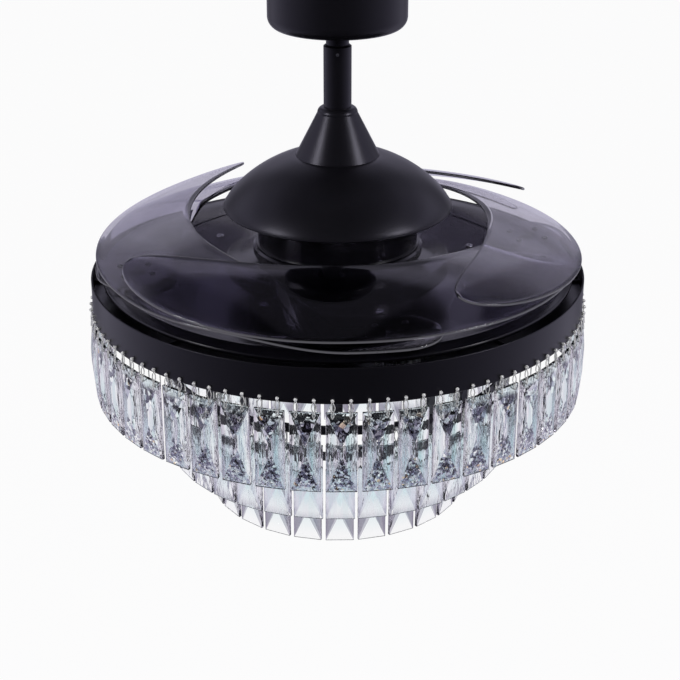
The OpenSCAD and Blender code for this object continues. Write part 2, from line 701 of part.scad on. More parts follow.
module tier_frame(i) {
    // Hoop with straps up to the radial arms.
    r = tier_r[i];
    z = hook_z(i) - hoop_h / 2 + 0.5;
    color("#1f1c27") difference() {
        union() {
            ring(r - 2, r, z, z + hoop_h);
            around(strap_n) translate([r - 4, -5, z]) cube([3, 10, arm_z - z]);
            around(strap_n) translate([r - 4, -5, arm_z - 2]) cube([8, 10, 2]);
        }
        hook_holes(i);
        around(strap_n) translate([r, 0, arm_z - 3]) cylinder(r = screw_r, h = 6);
    }
}
module middle_tier_frame() { tier_frame(1); }
module inner_tier_frame() { tier_frame(2); }

// ---------- hooks and crystals ----------
// Half the crystal's thickness at its hook holes.
drop_face = (drop_edge + (drop_t - drop_edge) * hole_in / facet_h) / 2;
module hook(r, top, hole) {
    // Ball-headed pin through the hoop, a leg down inside it and a button-ended
    // hook out through the crystal.
    hoop = sqrt(r * r - hook_gap * hook_gap / 4);
    back = r - 5.5;
    front = r + drop_face + 0.1;
    translate([hoop + 1.9, 0, top]) sphere(r = 1.9, $fn = 24);
    translate([back, 0, top]) rotate([0, 90, 0]) cylinder(r = hook_r, h = hoop + 1 - back, $fn = 16);
    translate([back, 0, hole - hook_r]) cylinder(r = hook_r, h = top - hole + 2 * hook_r, $fn = 16);
    translate([back, 0, hole]) rotate([0, 90, 0]) cylinder(r = hook_r, h = front + 1 - back, $fn = 16);
    translate([front, 0, hole]) rotate([0, 90, 0]) cylinder(r = 1.6, h = 1.4, $fn = 16);
}
module crystal_hooks() {
    color("#e2e4e8") for (i = [0:2]) at_hooks(i) hook(tier_r[i], hook_z(i), hole_z(i));
}
module crystal() {
    // Bar with a ridge on both faces, each end falling to the edge in one long
    // facet; top edge at z = 0, two hook holes through the top facets.
    w = drop_w / 2;
    t = drop_t / 2;
    e = drop_edge / 2;
    difference() {
        intersection() {
            translate([0, 0, -drop_h]) linear_extrude(drop_h)
                polygon([[-e, -w], [-t, 0], [-e, w], [e, w], [t, 0], [e, -w]]);
            rotate([90, 0, 0]) translate([0, 0, -w - 1]) linear_extrude(2 * w + 2) polygon([
                [-e, 0], [-t, -facet_h], [-t, -drop_h + facet_h], [-e, -drop_h],
                [e, -drop_h], [t, -drop_h + facet_h], [t, -facet_h], [e, 0]]);
        }
        for (s = [-1, 1]) translate([-t, s * hook_gap / 2, -hole_in]) rotate([0, 90, 0])
            cylinder(r = hook_r + fit, h = drop_t);
    }
}
module tier_crystals(i) {
    color("#dfe3ee", 0.6) for (k = [0:tier_count[i] - 1]) rotate([0, 0, 360 * k / tier_count[i] + drop_a])
        translate([tier_r[i], 0, tier_z[i]]) crystal();
}
module outer_crystals() { tier_crystals(0); }
module middle_crystals() { tier_crystals(1); }
module inner_crystals() { tier_crystals(2); }

ceiling_bracket();
canopy();
canopy_screws();
receiver_box();
ball_pin();
hanger_ball();
downrod();
rod_screw();
yoke_cover();
motor_yoke();
yoke_pin();
main_shaft();
motor_cover();
cover_screws();
stator_core();
stator_windings();
bearing_inner_rings();
bearing_balls();
bearing_outer_rings();
top_bell();
bottom_bell();
magnet_ring();
bell_screws();
carrier_boss();
blade_carrier();
carrier_screws();
pivot_bushes();
ring_guides();
return_springs();
sync_ring();
blade_1();
blade_2();
blade_3();
blade_4();
blade_hub_1();
blade_hub_2();
blade_hub_3();
blade_hub_4();
sync_pinion_1();
sync_pinion_2();
sync_pinion_3();
sync_pinion_4();
hub_screws_1();
hub_screws_2();
hub_screws_3();
hub_screws_4();
drum_band();
radial_arms();
shaft_nut();
lamp_housing();
led_panel();
led_driver();
diffuser();
middle_tier_frame();
inner_tier_frame();
frame_screws();
crystal_hooks();
outer_crystals();
middle_crystals();
inner_crystals();
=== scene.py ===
"""Ceiling fan with four folding smoky blades and three tiers of crystal drops."""
import math
from collections import namedtuple

import bpy
import numpy as np
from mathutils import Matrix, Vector


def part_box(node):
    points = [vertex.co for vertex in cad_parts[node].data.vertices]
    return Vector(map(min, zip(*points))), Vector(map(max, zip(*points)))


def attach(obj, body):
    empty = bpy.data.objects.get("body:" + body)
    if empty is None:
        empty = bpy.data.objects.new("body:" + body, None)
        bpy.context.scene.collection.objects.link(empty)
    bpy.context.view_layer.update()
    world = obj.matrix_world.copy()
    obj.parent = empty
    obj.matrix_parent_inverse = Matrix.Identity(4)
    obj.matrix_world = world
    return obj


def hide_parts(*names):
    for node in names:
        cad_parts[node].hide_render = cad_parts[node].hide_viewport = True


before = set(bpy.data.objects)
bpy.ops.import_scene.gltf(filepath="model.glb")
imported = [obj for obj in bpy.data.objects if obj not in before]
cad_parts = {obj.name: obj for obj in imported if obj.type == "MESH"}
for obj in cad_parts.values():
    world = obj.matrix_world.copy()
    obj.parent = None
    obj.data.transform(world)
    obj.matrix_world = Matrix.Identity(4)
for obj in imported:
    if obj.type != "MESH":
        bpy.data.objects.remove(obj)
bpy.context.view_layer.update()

MM = 0.001

# ---------- studio ----------
# A pale floor far below the hanging fan, pale walls that fade to a dark ceiling and to a dark end behind the
# camera, and four soft lamps. The camera stands 1.45 m in front and looks down 24 degrees.
camera_place = (2.4 * MM, -1450.0 * MM, 254.4 * MM)
camera_tilt, camera_focal, camera_sensor = 24.0, 80.26, 36.0
floor_drop, floor_half = 2.3, 30.0
floor_colour = (0.62, 0.61, 0.63, 1)
floor_glow, floor_glow_share, floor_sheen = 1.06, 0.9, 0.62
background = (0.985, 0.985, 0.985, 1)
room_tint = (0.82, 0.79, 1.0, 1)
wall_levels = ((0.0, 0.5), (0.22, 0.4), (0.32, 0.8), (0.46, 0.85), (0.56, 0.3), (0.63, 0.32), (0.68, 0.55),
               (0.73, 0.5), (0.78, 0.1))
bearing_levels = ((0.015, 0.06), (0.625, 1.0), (0.86, 1.0), (0.89, 0.35), (0.947, 0.35), (0.96, 1.0))
ceiling_fade = (0.5, 0.7)
lamps = (("key_lamp", (-2.15, -0.97, 0.9), (0.7, 0.7), 12.0),
         ("fill_lamp", (2.15, -0.97, 0.9), (0.7, 0.7), 12.0),
         ("rim_lamp", (0.2, 0.3, 2.9), (1.6, 1.2), 12.0),
         ("front_lamp", (0.0, -2.4, 0.9), (2.0, 1.5), 24.0))
seen_lamps = ("key_lamp", "fill_lamp")
lamp_aim = (0.0, 0.0, -0.35)

camera_data = bpy.data.cameras.new("photo_camera")
camera_data.lens = camera_focal
camera_data.sensor_width = camera_sensor
camera = bpy.data.objects.new("photo_camera", camera_data)
camera.location = camera_place
camera.rotation_euler = (math.radians(90.0 - camera_tilt), 0.0, 0.0)
bpy.context.collection.objects.link(camera)
bpy.context.scene.camera = camera
bpy.context.scene.view_settings.view_transform = "Standard"


def new_object(name, verts, faces, smooth=False):
    """Mesh object at the origin from an N x 3 array of places in metres and a list of faces."""
    mesh = bpy.data.meshes.new(name)
    mesh.from_pydata(np.asarray(verts, float).tolist(), [], [list(map(int, f)) for f in faces])
    mesh.update()
    mesh.shade_smooth() if smooth else mesh.shade_flat()
    obj = bpy.data.objects.new(name, mesh)
    bpy.context.collection.objects.link(obj)
    return obj


def node_material(name):
    """Empty node material: the material, its nodes, its links and its output node."""
    mat = bpy.data.materials.new(name)
    mat.use_nodes = True
    tree = mat.node_tree
    tree.nodes.clear()
    return mat, tree.nodes, tree.links, tree.nodes.new("ShaderNodeOutputMaterial")


def group(name, inputs, outputs):
    """Empty node group with these (name, kind, value) inputs and (name, kind) outputs."""
    tree = bpy.data.node_groups.new(name, "ShaderNodeTree")
    for label, kind, value in inputs:
        socket = tree.interface.new_socket(label, in_out="INPUT", socket_type="NodeSocket" + kind)
        socket.default_value = value
    for label, kind in outputs:
        tree.interface.new_socket(label, in_out="OUTPUT", socket_type="NodeSocket" + kind)
    return tree, tree.nodes.new("NodeGroupInput"), tree.nodes.new("NodeGroupOutput")


def feed(tree, socket, value):
    """Links another node's output to this input, or sets the input to a plain value."""
    if isinstance(value, bpy.types.NodeSocket):
        tree.links.new(value, socket)
    else:
        socket.default_value = value


def coordinate(tree, kind="Object"):
    """One output of a new Texture Coordinate node."""
    return tree.nodes.new("ShaderNodeTexCoord").outputs[kind]


def axes(tree, vector):
    """X, Y and Z outputs of a Separate XYZ node."""
    node = tree.nodes.new("ShaderNodeSeparateXYZ")
    tree.links.new(vector, node.inputs[0])
    return node.outputs


def ramp(tree, value, low, high, at=(0.3, 0.7)):
    """Straight ramp from low to high as the value crosses the two places given; sockets or plain numbers."""
    node = tree.nodes.new("ShaderNodeMapRange")
    for name, end in zip(("Value", "From Min", "From Max", "To Min", "To Max"), (value, *at, low, high)):
        feed(tree, node.inputs[name], end)
    return node.outputs[0]


def maths(tree, operation, *values):
    """Math node on sockets or plain numbers."""
    node = tree.nodes.new("ShaderNodeMath")
    node.operation = operation
    for socket, value in zip(node.inputs, values):
        feed(tree, socket, value)
    return node.outputs[0]


def vector_maths(tree, operation, *values):
    """Vector Math node on sockets or plain triples: its outputs, the vector first and then the number."""
    node = tree.nodes.new("ShaderNodeVectorMath")
    node.operation = operation
    for socket, value in zip(node.inputs, values):
        feed(tree, socket, value)
    return node.outputs


def colour_ramp(tree, value, stops, steps=False):
    """Colour ramp through (place, RGB) stops; steps keeps each colour flat up to the next."""
    node = tree.nodes.new("ShaderNodeValToRGB")
    node.color_ramp.interpolation = "CONSTANT" if steps else "LINEAR"
    for k, (place, colour) in enumerate(stops):
        stop = node.color_ramp.elements[k] if k < 2 else node.color_ramp.elements.new(place)
        stop.position = place
        stop.color = (*colour, 1.0)
    tree.links.new(value, node.inputs["Fac"])
    return node.outputs["Color"]


def grey_ramp(tree, value, levels):
    """Grey ramp through (place, level) stops."""
    return colour_ramp(tree, value, [(place, (level, level, level)) for place, level in levels])


# Room bearing: the light of the walls by compass bearing. It is dark behind the camera and full at the sides
# and the back, with a dim corner on each side of the back wall; the places are half of 1 plus the bearing's
# cosine.
bearing, inside, outside = group("room_bearing", (("Place", "Vector", (0, 0, 0)),), (("Level", "Float"),))
level_place = vector_maths(bearing, "MULTIPLY", inside.outputs["Place"], (1.0, 1.0, 0.0))[0]
northing = axes(bearing, vector_maths(bearing, "NORMALIZE", level_place)[0])["Y"]
bearing.links.new(grey_ramp(bearing, maths(bearing, "MULTIPLY_ADD", northing, 0.5, 0.5), bearing_levels),
                  outside.inputs["Level"])


def room_level(tree, kind):
    """The room bearing group, fed with one of Texture Coordinate's outputs."""
    node = tree.nodes.new("ShaderNodeGroup")
    node.node_tree = bearing
    tree.links.new(coordinate(tree, kind), node.inputs["Place"])
    return node.outputs["Level"]


def seen_directly(tree):
    """1 for a ray from the camera or one that came through glass, 0 for any other."""
    path = tree.nodes.new("ShaderNodeLightPath")
    return maths(tree, "MAXIMUM", path.outputs["Is Camera Ray"], path.outputs["Is Transmission Ray"])


def mixed(tree, factor, first, second):
    """Mix Shader node between two shader sockets; the factor is a socket or a number."""
    node = tree.nodes.new("ShaderNodeMixShader")
    for socket, value in zip(node.inputs, (factor, first, second)):
        feed(tree, socket, value)
    return node.outputs[0]


floor_corners = [(x * floor_half, y * floor_half, -floor_drop)
                 for x, y in ((-1, -1), (1, -1), (1, 1), (-1, 1))]
floor = new_object("floor", floor_corners, [(0, 1, 2, 3)])
floor_paint, nodes, links, out = node_material("floor_paint")
tree = floor_paint.node_tree
matt = nodes.new("ShaderNodeBsdfDiffuse")
matt.inputs["Color"].default_value = floor_colour
pale = nodes.new("ShaderNodeEmission")
pale.inputs["Strength"].default_value = floor_glow
sheen = nodes.new("ShaderNodeEmission")
sheen.inputs["Color"].default_value = room_tint
links.new(maths(tree, "MULTIPLY", room_level(tree, "Object"), floor_sheen), sheen.inputs["Strength"])
glossy = nodes.new("ShaderNodeLightPath").outputs["Is Glossy Ray"]
lit = mixed(tree, glossy, matt.outputs[0], sheen.outputs[0])
shown = mixed(tree, floor_glow_share, matt.outputs[0], pale.outputs[0])
links.new(mixed(tree, seen_directly(tree), lit, shown), out.inputs["Surface"])
floor.data.materials.append(floor_paint)

# The camera sees a plain pale background, and so does glass below the ceiling; all else sees the room.
world = bpy.data.worlds.new("studio")
bpy.context.scene.world = world
world.use_nodes = True
tree = world.node_tree
nodes, links = tree.nodes, tree.links
nodes.clear()
out = nodes.new("ShaderNodeOutputWorld")
height = axes(tree, coordinate(tree, "Generated"))["Z"]
room = nodes.new("ShaderNodeBackground")
room.inputs["Color"].default_value = room_tint
links.new(maths(tree, "MULTIPLY", grey_ramp(tree, height, wall_levels), room_level(tree, "Generated")),
          room.inputs["Strength"])
pale = nodes.new("ShaderNodeBackground")
pale.inputs["Color"].default_value = background
path = nodes.new("ShaderNodeLightPath")
through_glass = maths(tree, "MULTIPLY", path.outputs["Is Transmission Ray"],
                      ramp(tree, height, 1.0, 0.0, ceiling_fade))
links.new(mixed(tree, maths(tree, "MAXIMUM", path.outputs["Is Camera Ray"], through_glass), room.outputs[0],
                pale.outputs[0]), out.inputs["Surface"])

for name, place, size, power in lamps:
    light = bpy.data.lights.new(name, "AREA")
    light.shape = "RECTANGLE"
    light.size, light.size_y = size
    light.energy = power
    lamp = bpy.data.objects.new(name, light)
    lamp.location = place
    lamp.visible_glossy = lamp.visible_transmission = name in seen_lamps
    lamp.rotation_euler = (Vector(lamp_aim) - Vector(place)).to_track_quat("-Z", "Y").to_euler()
    bpy.context.collection.objects.link(lamp)


# ---------- ceiling bracket ----------
# A folded and drilled strip of zinc-plated steel, screwed to the ceiling box. The plating shows its spangle,
# so the colour changes from grain to grain.
dust_slope, dust_patches, dust_scale = (0.55, 1.0), (0.42, 0.72), 60.0
spangle_scale = 160.0


def noise(tree, place, scale, detail=3.0):
    """Noise texture on a vector socket; the scale is a number or a socket."""
    node = tree.nodes.new("ShaderNodeTexNoise")
    for name, value in (("Vector", place), ("Scale", scale), ("Detail", detail)):
        feed(tree, node.inputs[name], value)
    return node.outputs["Fac"]


def blend_colour(tree, factor, first, second):
    """Mix of two colours; each is a socket or an RGB triple."""
    node = tree.nodes.new("ShaderNodeMix")
    node.data_type = "RGBA"
    tree.links.new(factor, node.inputs["Factor"])
    for socket, colour in zip(node.inputs[6:8], (first, second)):
        feed(tree, socket, (*colour, 1.0) if isinstance(colour, tuple) else colour)
    return node.outputs[2]


# Handled surface: a fine even grain for the height, broad soft smudges that raise the roughness, and a little
# dust where the surface faces up.
handled, inside, outside = group("handled_surface", (
    ("Grain", "Float", 900.0), ("Smudge", "Float", 14.0), ("Smooth", "Float", 0.2), ("Rough", "Float", 0.3),
    ("Clean", "Color", (0.5, 0.5, 0.5, 1)), ("Dusty", "Color", (0.55, 0.55, 0.55, 1))),
    (("Roughness", "Float"), ("Height", "Float"), ("Colour", "Color")))
spot = coordinate(handled)
smudges = noise(handled, spot, inside.outputs["Smudge"], 4.0)
upward = axes(handled, handled.nodes.new("ShaderNodeNewGeometry").outputs["Normal"])["Z"]
dust = maths(handled, "MULTIPLY", ramp(handled, upward, 0.0, 1.0, dust_slope),
             ramp(handled, noise(handled, spot, dust_scale, 6.0), 0.0, 1.0, dust_patches))
for label, value in (
        ("Roughness", ramp(handled, smudges, inside.outputs["Smooth"], inside.outputs["Rough"])),
        ("Height", noise(handled, spot, inside.outputs["Grain"], 2.0)),
        ("Colour", blend_colour(handled, dust, inside.outputs["Clean"], inside.outputs["Dusty"]))):
    handled.links.new(value, outside.inputs[label])

Finish = namedtuple("Finish", "mat tree shader worn bumps")


def finish(name, clean, dusty=None, grain=900.0, smudge=14.0, smooth=0.25, rough=0.35, bump=0.05,
           depth=0.0002, metal=0.0, **sockets):
    """Material with the handled surface; other Principled sockets are set by name, with _ for a space.

    Gives the material, its tree, the Principled BSDF, the group node and the bump node."""
    mat, nodes, links, out = node_material(name)
    shader = nodes.new("ShaderNodeBsdfPrincipled")
    links.new(shader.outputs[0], out.inputs["Surface"])
    shader.inputs["Metallic"].default_value = metal
    for socket, value in sockets.items():
        shader.inputs[socket.replace("_", " ")].default_value = value
    worn = nodes.new("ShaderNodeGroup")
    worn.node_tree = handled
    for socket, value in (("Grain", grain), ("Smudge", smudge), ("Smooth", smooth), ("Rough", rough),
                          ("Clean", (*clean, 1.0)), ("Dusty", (*(dusty or clean), 1.0))):
        worn.inputs[socket].default_value = value
    links.new(worn.outputs["Colour"], shader.inputs["Base Color"])
    links.new(worn.outputs["Roughness"], shader.inputs["Roughness"])
    bumps = nodes.new("ShaderNodeBump")
    bumps.inputs["Strength"].default_value = bump
    bumps.inputs["Distance"].default_value = depth
    links.new(worn.outputs["Height"], bumps.inputs["Height"])
    links.new(bumps.outputs[0], shader.inputs["Normal"])
    return Finish(mat, mat.node_tree, shader, worn, bumps)


def dress(paint, *names):
    """Gives the CAD nodes of these names the finish, in every slot."""
    for name in names:
        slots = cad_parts[name].data.materials
        slots.clear()
        slots.append(paint.mat)


zinc = finish("zinc_plate", (0.55, 0.56, 0.58), smooth=0.28, rough=0.42, metal=1.0)
tree = zinc.tree
spangle = tree.nodes.new("ShaderNodeTexVoronoi")
spangle.inputs["Scale"].default_value = spangle_scale
tree.links.new(coordinate(tree), spangle.inputs["Vector"])
tree.links.new(blend_colour(tree, spangle.outputs["Distance"], (0.62, 0.63, 0.65), (0.44, 0.45, 0.47)),
               zinc.shader.inputs["Base Color"])
dress(zinc, "ceiling_bracket", "motor_yoke")

# ---------- canopy, downrod, yoke cover and frame ----------
# Spun and pressed steel under one satin black paint with a cool violet cast. The paint has a fine orange
# peel and takes faint dust on its upper faces.
black_paint = finish("satin_black_paint", (0.0055, 0.0052, 0.0068), (0.008, 0.0077, 0.0092), grain=420.0,
                     smooth=0.3, rough=0.37, bump=0.1, Specular_IOR_Level=0.5,
                     Specular_Tint=(0.86, 0.83, 1.0, 1.0))
dress(black_paint, "canopy", "downrod", "yoke_cover", "radial_arms", "lamp_housing", "middle_tier_frame",
      "inner_tier_frame")

# ---------- receiver and driver boxes ----------
# Two moulded boxes, one in the canopy for the remote control and one in the lamp housing for the LEDs.
white_box = finish("white_moulding", (0.78, 0.78, 0.76), (0.6, 0.59, 0.56), grain=500.0, smooth=0.42,
                   rough=0.55, bump=0.1)
dress(white_box, "receiver_box", "led_driver")

# ---------- hanger ball ----------
# Moulded in black nylon, matt where it rubs in the bracket's seat.
nylon = finish("black_nylon", (0.02, 0.019, 0.024), (0.05, 0.05, 0.055), grain=700.0, smooth=0.45, rough=0.62,
               bump=0.2)
dress(nylon, "hanger_ball")

# ---------- shaft, pins, bearings and springs ----------
# Turned and ground steel, with fine rings left by the tool and a thin film of oil.
tool_rings, tool_waver = 600.0, 1.5


def bands(tree, scale, waver=0.0):
    """Wave texture of level bands, one above another."""
    node = tree.nodes.new("ShaderNodeTexWave")
    node.bands_direction = "Z"
    for name, value in (("Scale", scale), ("Distortion", waver), ("Vector", coordinate(tree))):
        feed(tree, node.inputs[name], value)
    return node.outputs["Fac"]


ground_steel = finish("ground_steel", (0.6, 0.61, 0.63), smooth=0.16, rough=0.3, metal=1.0)
tree = ground_steel.tree
tree.links.new(bands(tree, tool_rings, tool_waver), ground_steel.bumps.inputs["Height"])
dress(ground_steel, "ball_pin", "yoke_pin", "main_shaft", "bearing_inner_rings", "bearing_outer_rings",
      "shaft_nut")
ball_steel = finish("ball_steel", (0.78, 0.79, 0.81), grain=2000.0, smooth=0.05, rough=0.1, bump=0.02,
                    metal=1.0)
dress(ball_steel, "bearing_balls", "return_springs", "rod_screw")

# ---------- stator and magnets ----------
# A stack of half-millimetre laminations with enamelled copper wound round every tooth, inside a ring of
# ferrite.
lamination_bands, wire_pitch = 620.0, 0.8 * MM
laminations = finish("lamination_steel", (0.36, 0.37, 0.38), smooth=0.4, rough=0.6, metal=1.0, bump=0.6,
                     depth=0.0001)
laminations.tree.links.new(bands(laminations.tree, lamination_bands), laminations.bumps.inputs["Height"])
dress(laminations, "stator_core")


def radius_waves(tree, pitch):
    """Sine of the distance from the fan's axis, one wave per pitch in metres, from 0 to 1."""
    flat = vector_maths(tree, "MULTIPLY", coordinate(tree), (1.0, 1.0, 0.0))[0]
    distance = vector_maths(tree, "LENGTH", flat)["Value"]
    wave = maths(tree, "SINE", maths(tree, "MULTIPLY", distance, 2 * math.pi / pitch))
    return ramp(tree, wave, 0.0, 1.0, (-1.0, 1.0))


copper = finish("enamelled_copper", (0.5, 0.19, 0.07), smooth=0.2, rough=0.32, metal=1.0, bump=0.8,
                depth=0.0003, Coat_Weight=0.5, Coat_Roughness=0.1)
tree = copper.tree
wire_ridges_and_shade = radius_waves(tree, wire_pitch)
tree.links.new(wire_ridges_and_shade, copper.bumps.inputs["Height"])
# The same waves paint the copper darker in the grooves between the turns of wire, as painted shade.
tree.links.new(blend_colour(tree, wire_ridges_and_shade, (0.2, 0.06, 0.02), (0.58, 0.23, 0.09)),
               copper.shader.inputs["Base Color"])
dress(copper, "stator_windings")
ferrite = finish("ferrite", (0.055, 0.055, 0.06), (0.08, 0.08, 0.085), grain=1400.0, smooth=0.5, rough=0.7,
                 bump=0.3)
dress(ferrite, "magnet_ring")

# ---------- carrier, its boss and the blade hubs ----------
# The carrier is a spun pan with a rolled bead, under a glossier black than the covers. The boss is die-cast
# and painted with it.
pan_paint = finish("gloss_black_paint", (0.003, 0.0028, 0.004), (0.0055, 0.0052, 0.0065), grain=300.0,
                   smooth=0.14, rough=0.22, bump=0.06, Specular_IOR_Level=0.5,
                   Specular_Tint=(0.94, 0.92, 1.0, 1.0))
dress(pan_paint, "blade_carrier", "carrier_boss", "blade_hub_1", "blade_hub_2", "blade_hub_3", "blade_hub_4")

# ---------- motor bells ----------
# Two die-cast halves that turn round the stator, each with a rounded rim that stands out from the drum
# between them.
motor_r, bell_wall, bell_web, top_lip, foot_lip = 80.7, 9.0, 4.0, 1.6, 2.2
bell_top, bell_foot, bell_mid = -245.0, -280.0, -262.0
seat_r, seat_rim_r, seat_depth = 21.0, 26.0, 7.0


def rounded(corners, steps=4, hold=1.4):
    """Closed outline through (radius, height, cut) corners. A cut corner is a quadratic curve with its
    control at the corner, between points the cut's length along each side, and one more point on each side,
    hold times as far, keeps the flat. Points that fall together are left out."""
    corners = np.asarray(corners, float)
    p, cut = corners[:, :2], corners[:, 2:]
    back, on = np.roll(p, 1, axis=0) - p, np.roll(p, -1, axis=0) - p
    back /= np.linalg.norm(back, axis=1, keepdims=True)
    on /= np.linalg.norm(on, axis=1, keepdims=True)
    u = np.linspace(0, 1, steps)[:, None, None]
    curve = p + cut * (back * (1 - u) ** 2 + on * u ** 2)
    rows = np.concatenate([(p + hold * cut * back)[None], curve, (p + hold * cut * on)[None]])
    outline = rows.transpose(1, 0, 2).reshape(-1, 2)
    keep = np.linalg.norm(outline - np.roll(outline, 1, axis=0), axis=1) > 1e-6
    return outline[keep]


def skin(rows, around, ends, flip=False):
    """Faces over rows of looped points: quads from each row to the next. The last row is "joined" to the
    first, or the two are "capped" by a face each or left "open"; flip turns the faces over."""
    here, ahead = np.arange(around), np.roll(np.arange(around), -1)
    first = np.arange(rows if ends == "joined" else rows - 1)[:, None] * around
    onward = (first + around) % (rows * around)
    quads = np.stack([first + here, first + ahead, onward + ahead, onward + here], axis=2).reshape(-1, 4)
    caps = [here[::-1].tolist(), (here + (rows - 1) * around).tolist()] if ends == "capped" else []
    if flip:
        quads, caps = quads[:, [0, 3, 2, 1]], [cap[::-1] for cap in caps]
    return quads.tolist() + caps


def turned(name, corners, around=192):
    """Ring made by carrying the rounded outline once round the fan's axis."""
    r, z = rounded(corners).T
    if np.sum(r * np.roll(z, -1) - z * np.roll(r, -1)) > 0:
        r, z = r[::-1], z[::-1]
    a = (np.arange(around) * 2 * np.pi / around)[:, None]
    verts = np.stack([r * np.cos(a), r * np.sin(a), z + 0 * a], axis=2).reshape(-1, 3)
    ring = new_object(name, verts * MM, skin(around, len(r), "joined"), smooth=True)
    ring.data.set_sharp_from_angle(angle=math.radians(40))
    return ring


def stand_in(piece, paint, body, node):
    """Paints a new piece, rides it on its body and puts it in its node's place."""
    piece.data.materials.append(paint.mat)
    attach(piece, body)
    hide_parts(node)


stand_in(turned("upper_bell", [
    (seat_r, bell_top, 0.6), (motor_r - 1.2, bell_top, 0.5), (motor_r, bell_top - 1, 0.3),
    (motor_r + top_lip, bell_top - 1, 0.7), (motor_r + top_lip, bell_top - 3.2, 0.7),
    (motor_r, bell_top - 3.2, 0.3), (motor_r, bell_mid, 0.2), (motor_r - bell_wall, bell_mid, 0.2),
    (motor_r - bell_wall, bell_top - bell_web, 1.5), (seat_rim_r, bell_top - bell_web, 1),
    (seat_rim_r, bell_top - seat_depth - 0.5, 0.4), (seat_r, bell_top - seat_depth - 0.5, 0.4)]),
    pan_paint, "rotor", "top_bell")
stand_in(turned("lower_bell", [
    (seat_r, bell_foot - 1, 0.3), (seat_rim_r, bell_foot - 1, 0.3), (seat_rim_r + 0.2, bell_foot, 0.1),
    (motor_r + foot_lip, bell_foot, 0.5), (motor_r + foot_lip, bell_foot + 2.6, 0.8),
    (motor_r, bell_foot + 2.6, 0.3), (motor_r, bell_mid, 0.2), (motor_r - bell_wall, bell_mid, 0.2),
    (motor_r - bell_wall, bell_foot + bell_web, 1.5), (seat_rim_r, bell_foot + bell_web, 1),
    (seat_rim_r, bell_foot + seat_depth - 0.5, 0.4), (seat_r, bell_foot + seat_depth - 0.5, 0.4)]),
    pan_paint, "rotor", "bottom_bell")

# ---------- motor cover ----------
# A dome spun from 1.8 mm steel sheet, its rim turned in under the edge. It is screwed to the yoke under the
# cone.
cover_r, cover_rim, cover_h, cover_wall, rim_inset = 115.0, -241.0, 55.6, 1.8, 1.4
crown_z, crown_hole_r, dome_start_r, lining_drop, turned_in = -189.0, 17.0, 5.0, 1.4, 6.0


def spun_dome(radius, drop, steps=48):
    """Corners down a dome from its crown: height is 2 over the rim plus the dome's height times (1 -
    q^2)^0.8, cut off at the crown, where q goes from 0 at the start radius to 1 at the given one; sine steps
    crowd the points towards the rim."""
    q = np.sin(np.linspace(0, np.pi / 2, steps)) ** 1.15
    r = dome_start_r + (radius - dome_start_r) * q
    z = np.minimum(crown_z, cover_rim + 2 + cover_h * (1 - q ** 2) ** 0.8) - drop
    return np.stack([r, z, 0 * r], axis=1)[r > crown_hole_r]


cover_skin = spun_dome(cover_r - rim_inset, 0.0)
cover_lining = spun_dome(cover_r - rim_inset - cover_wall, lining_drop)[:-1]
stand_in(turned("spun_cover", np.concatenate([cover_skin, [
    (cover_r, cover_rim + 1, 0.5), (cover_r - 0.5, cover_rim, 0.5),
    (cover_r - turned_in, cover_rim - 0.9, 0.3), (cover_r - turned_in, cover_rim + 0.4, 0.3)],
    cover_lining[cover_lining[:, 0] < cover_r - turned_in - 0.5][::-1]]), around=224),
    black_paint, "fixture", "motor_cover")

# ---------- drum band ----------
# A hoop rolled from steel strip, its edges folded over, with a flat ledge welded inside that carries the
# arms and hides the lamp from above.
band_r, band_t, band_top, band_foot = 250.0, 2.0, -307.0, -342.4
ledge_in, ledge_z, ledge_t = 199.0, -324.0, 2.0
stand_in(turned("rolled_band", [
    (band_r, band_top, 0.9), (band_r, band_foot, 0.9), (band_r - band_t, band_foot, 0.9),
    (band_r - band_t, ledge_z - ledge_t, 0.6), (ledge_in, ledge_z - ledge_t, 0.5), (ledge_in, ledge_z, 0.5),
    (band_r - band_t, ledge_z, 0.8), (band_r - band_t, band_top, 0.9)], around=288),
    black_paint, "fixture", "drum_band")

# ---------- bushes, guides and the synchroniser ----------
# Sintered bronze bushes, acetal guides and a blanked ring gear, all under the carrier.
blanking_pitch = 0.35 * MM
bronze = finish("sintered_bronze", (0.42, 0.27, 0.12), (0.3, 0.2, 0.1), grain=2500.0, smooth=0.35, rough=0.5,
                metal=1.0, bump=0.3)
dress(bronze, "pivot_bushes")
acetal = finish("acetal", (0.05, 0.048, 0.055), (0.09, 0.09, 0.095), grain=600.0, smooth=0.35, rough=0.5)
dress(acetal, "ring_guides")
blanked = finish("blanked_alloy", (0.5, 0.51, 0.53), smooth=0.26, rough=0.4, metal=1.0, bump=0.25,
                 depth=0.0001)
blanked.tree.links.new(radius_waves(blanked.tree, blanking_pitch), blanked.bumps.inputs["Height"])
dress(blanked, "sync_ring", "sync_pinion_1", "sync_pinion_2", "sync_pinion_3", "sync_pinion_4")

# ---------- lamp ----------
# A white LED board with yellow phosphor chips under it, behind an opal acrylic diffuser.
board_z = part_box("led_panel")[0][2] + 0.9 * MM
board_colour, chip_colour = (0.82, 0.82, 0.78), (0.9, 0.62, 0.1)
led_board = finish("led_board", board_colour, smooth=0.35, rough=0.45)
tree = led_board.tree
on_board = ramp(tree, axes(tree, coordinate(tree))["Z"], 0.0, 1.0, (board_z - 0.2 * MM, board_z - 0.1 * MM))
tree.links.new(blend_colour(tree, on_board, chip_colour, board_colour), led_board.shader.inputs["Base Color"])
dress(led_board, "led_panel")
opal = finish("opal_acrylic", (0.86, 0.86, 0.84), grain=300.0, smooth=0.3, rough=0.42, bump=0.03,
              Transmission_Weight=0.35, IOR=1.49)
dress(opal, "diffuser")

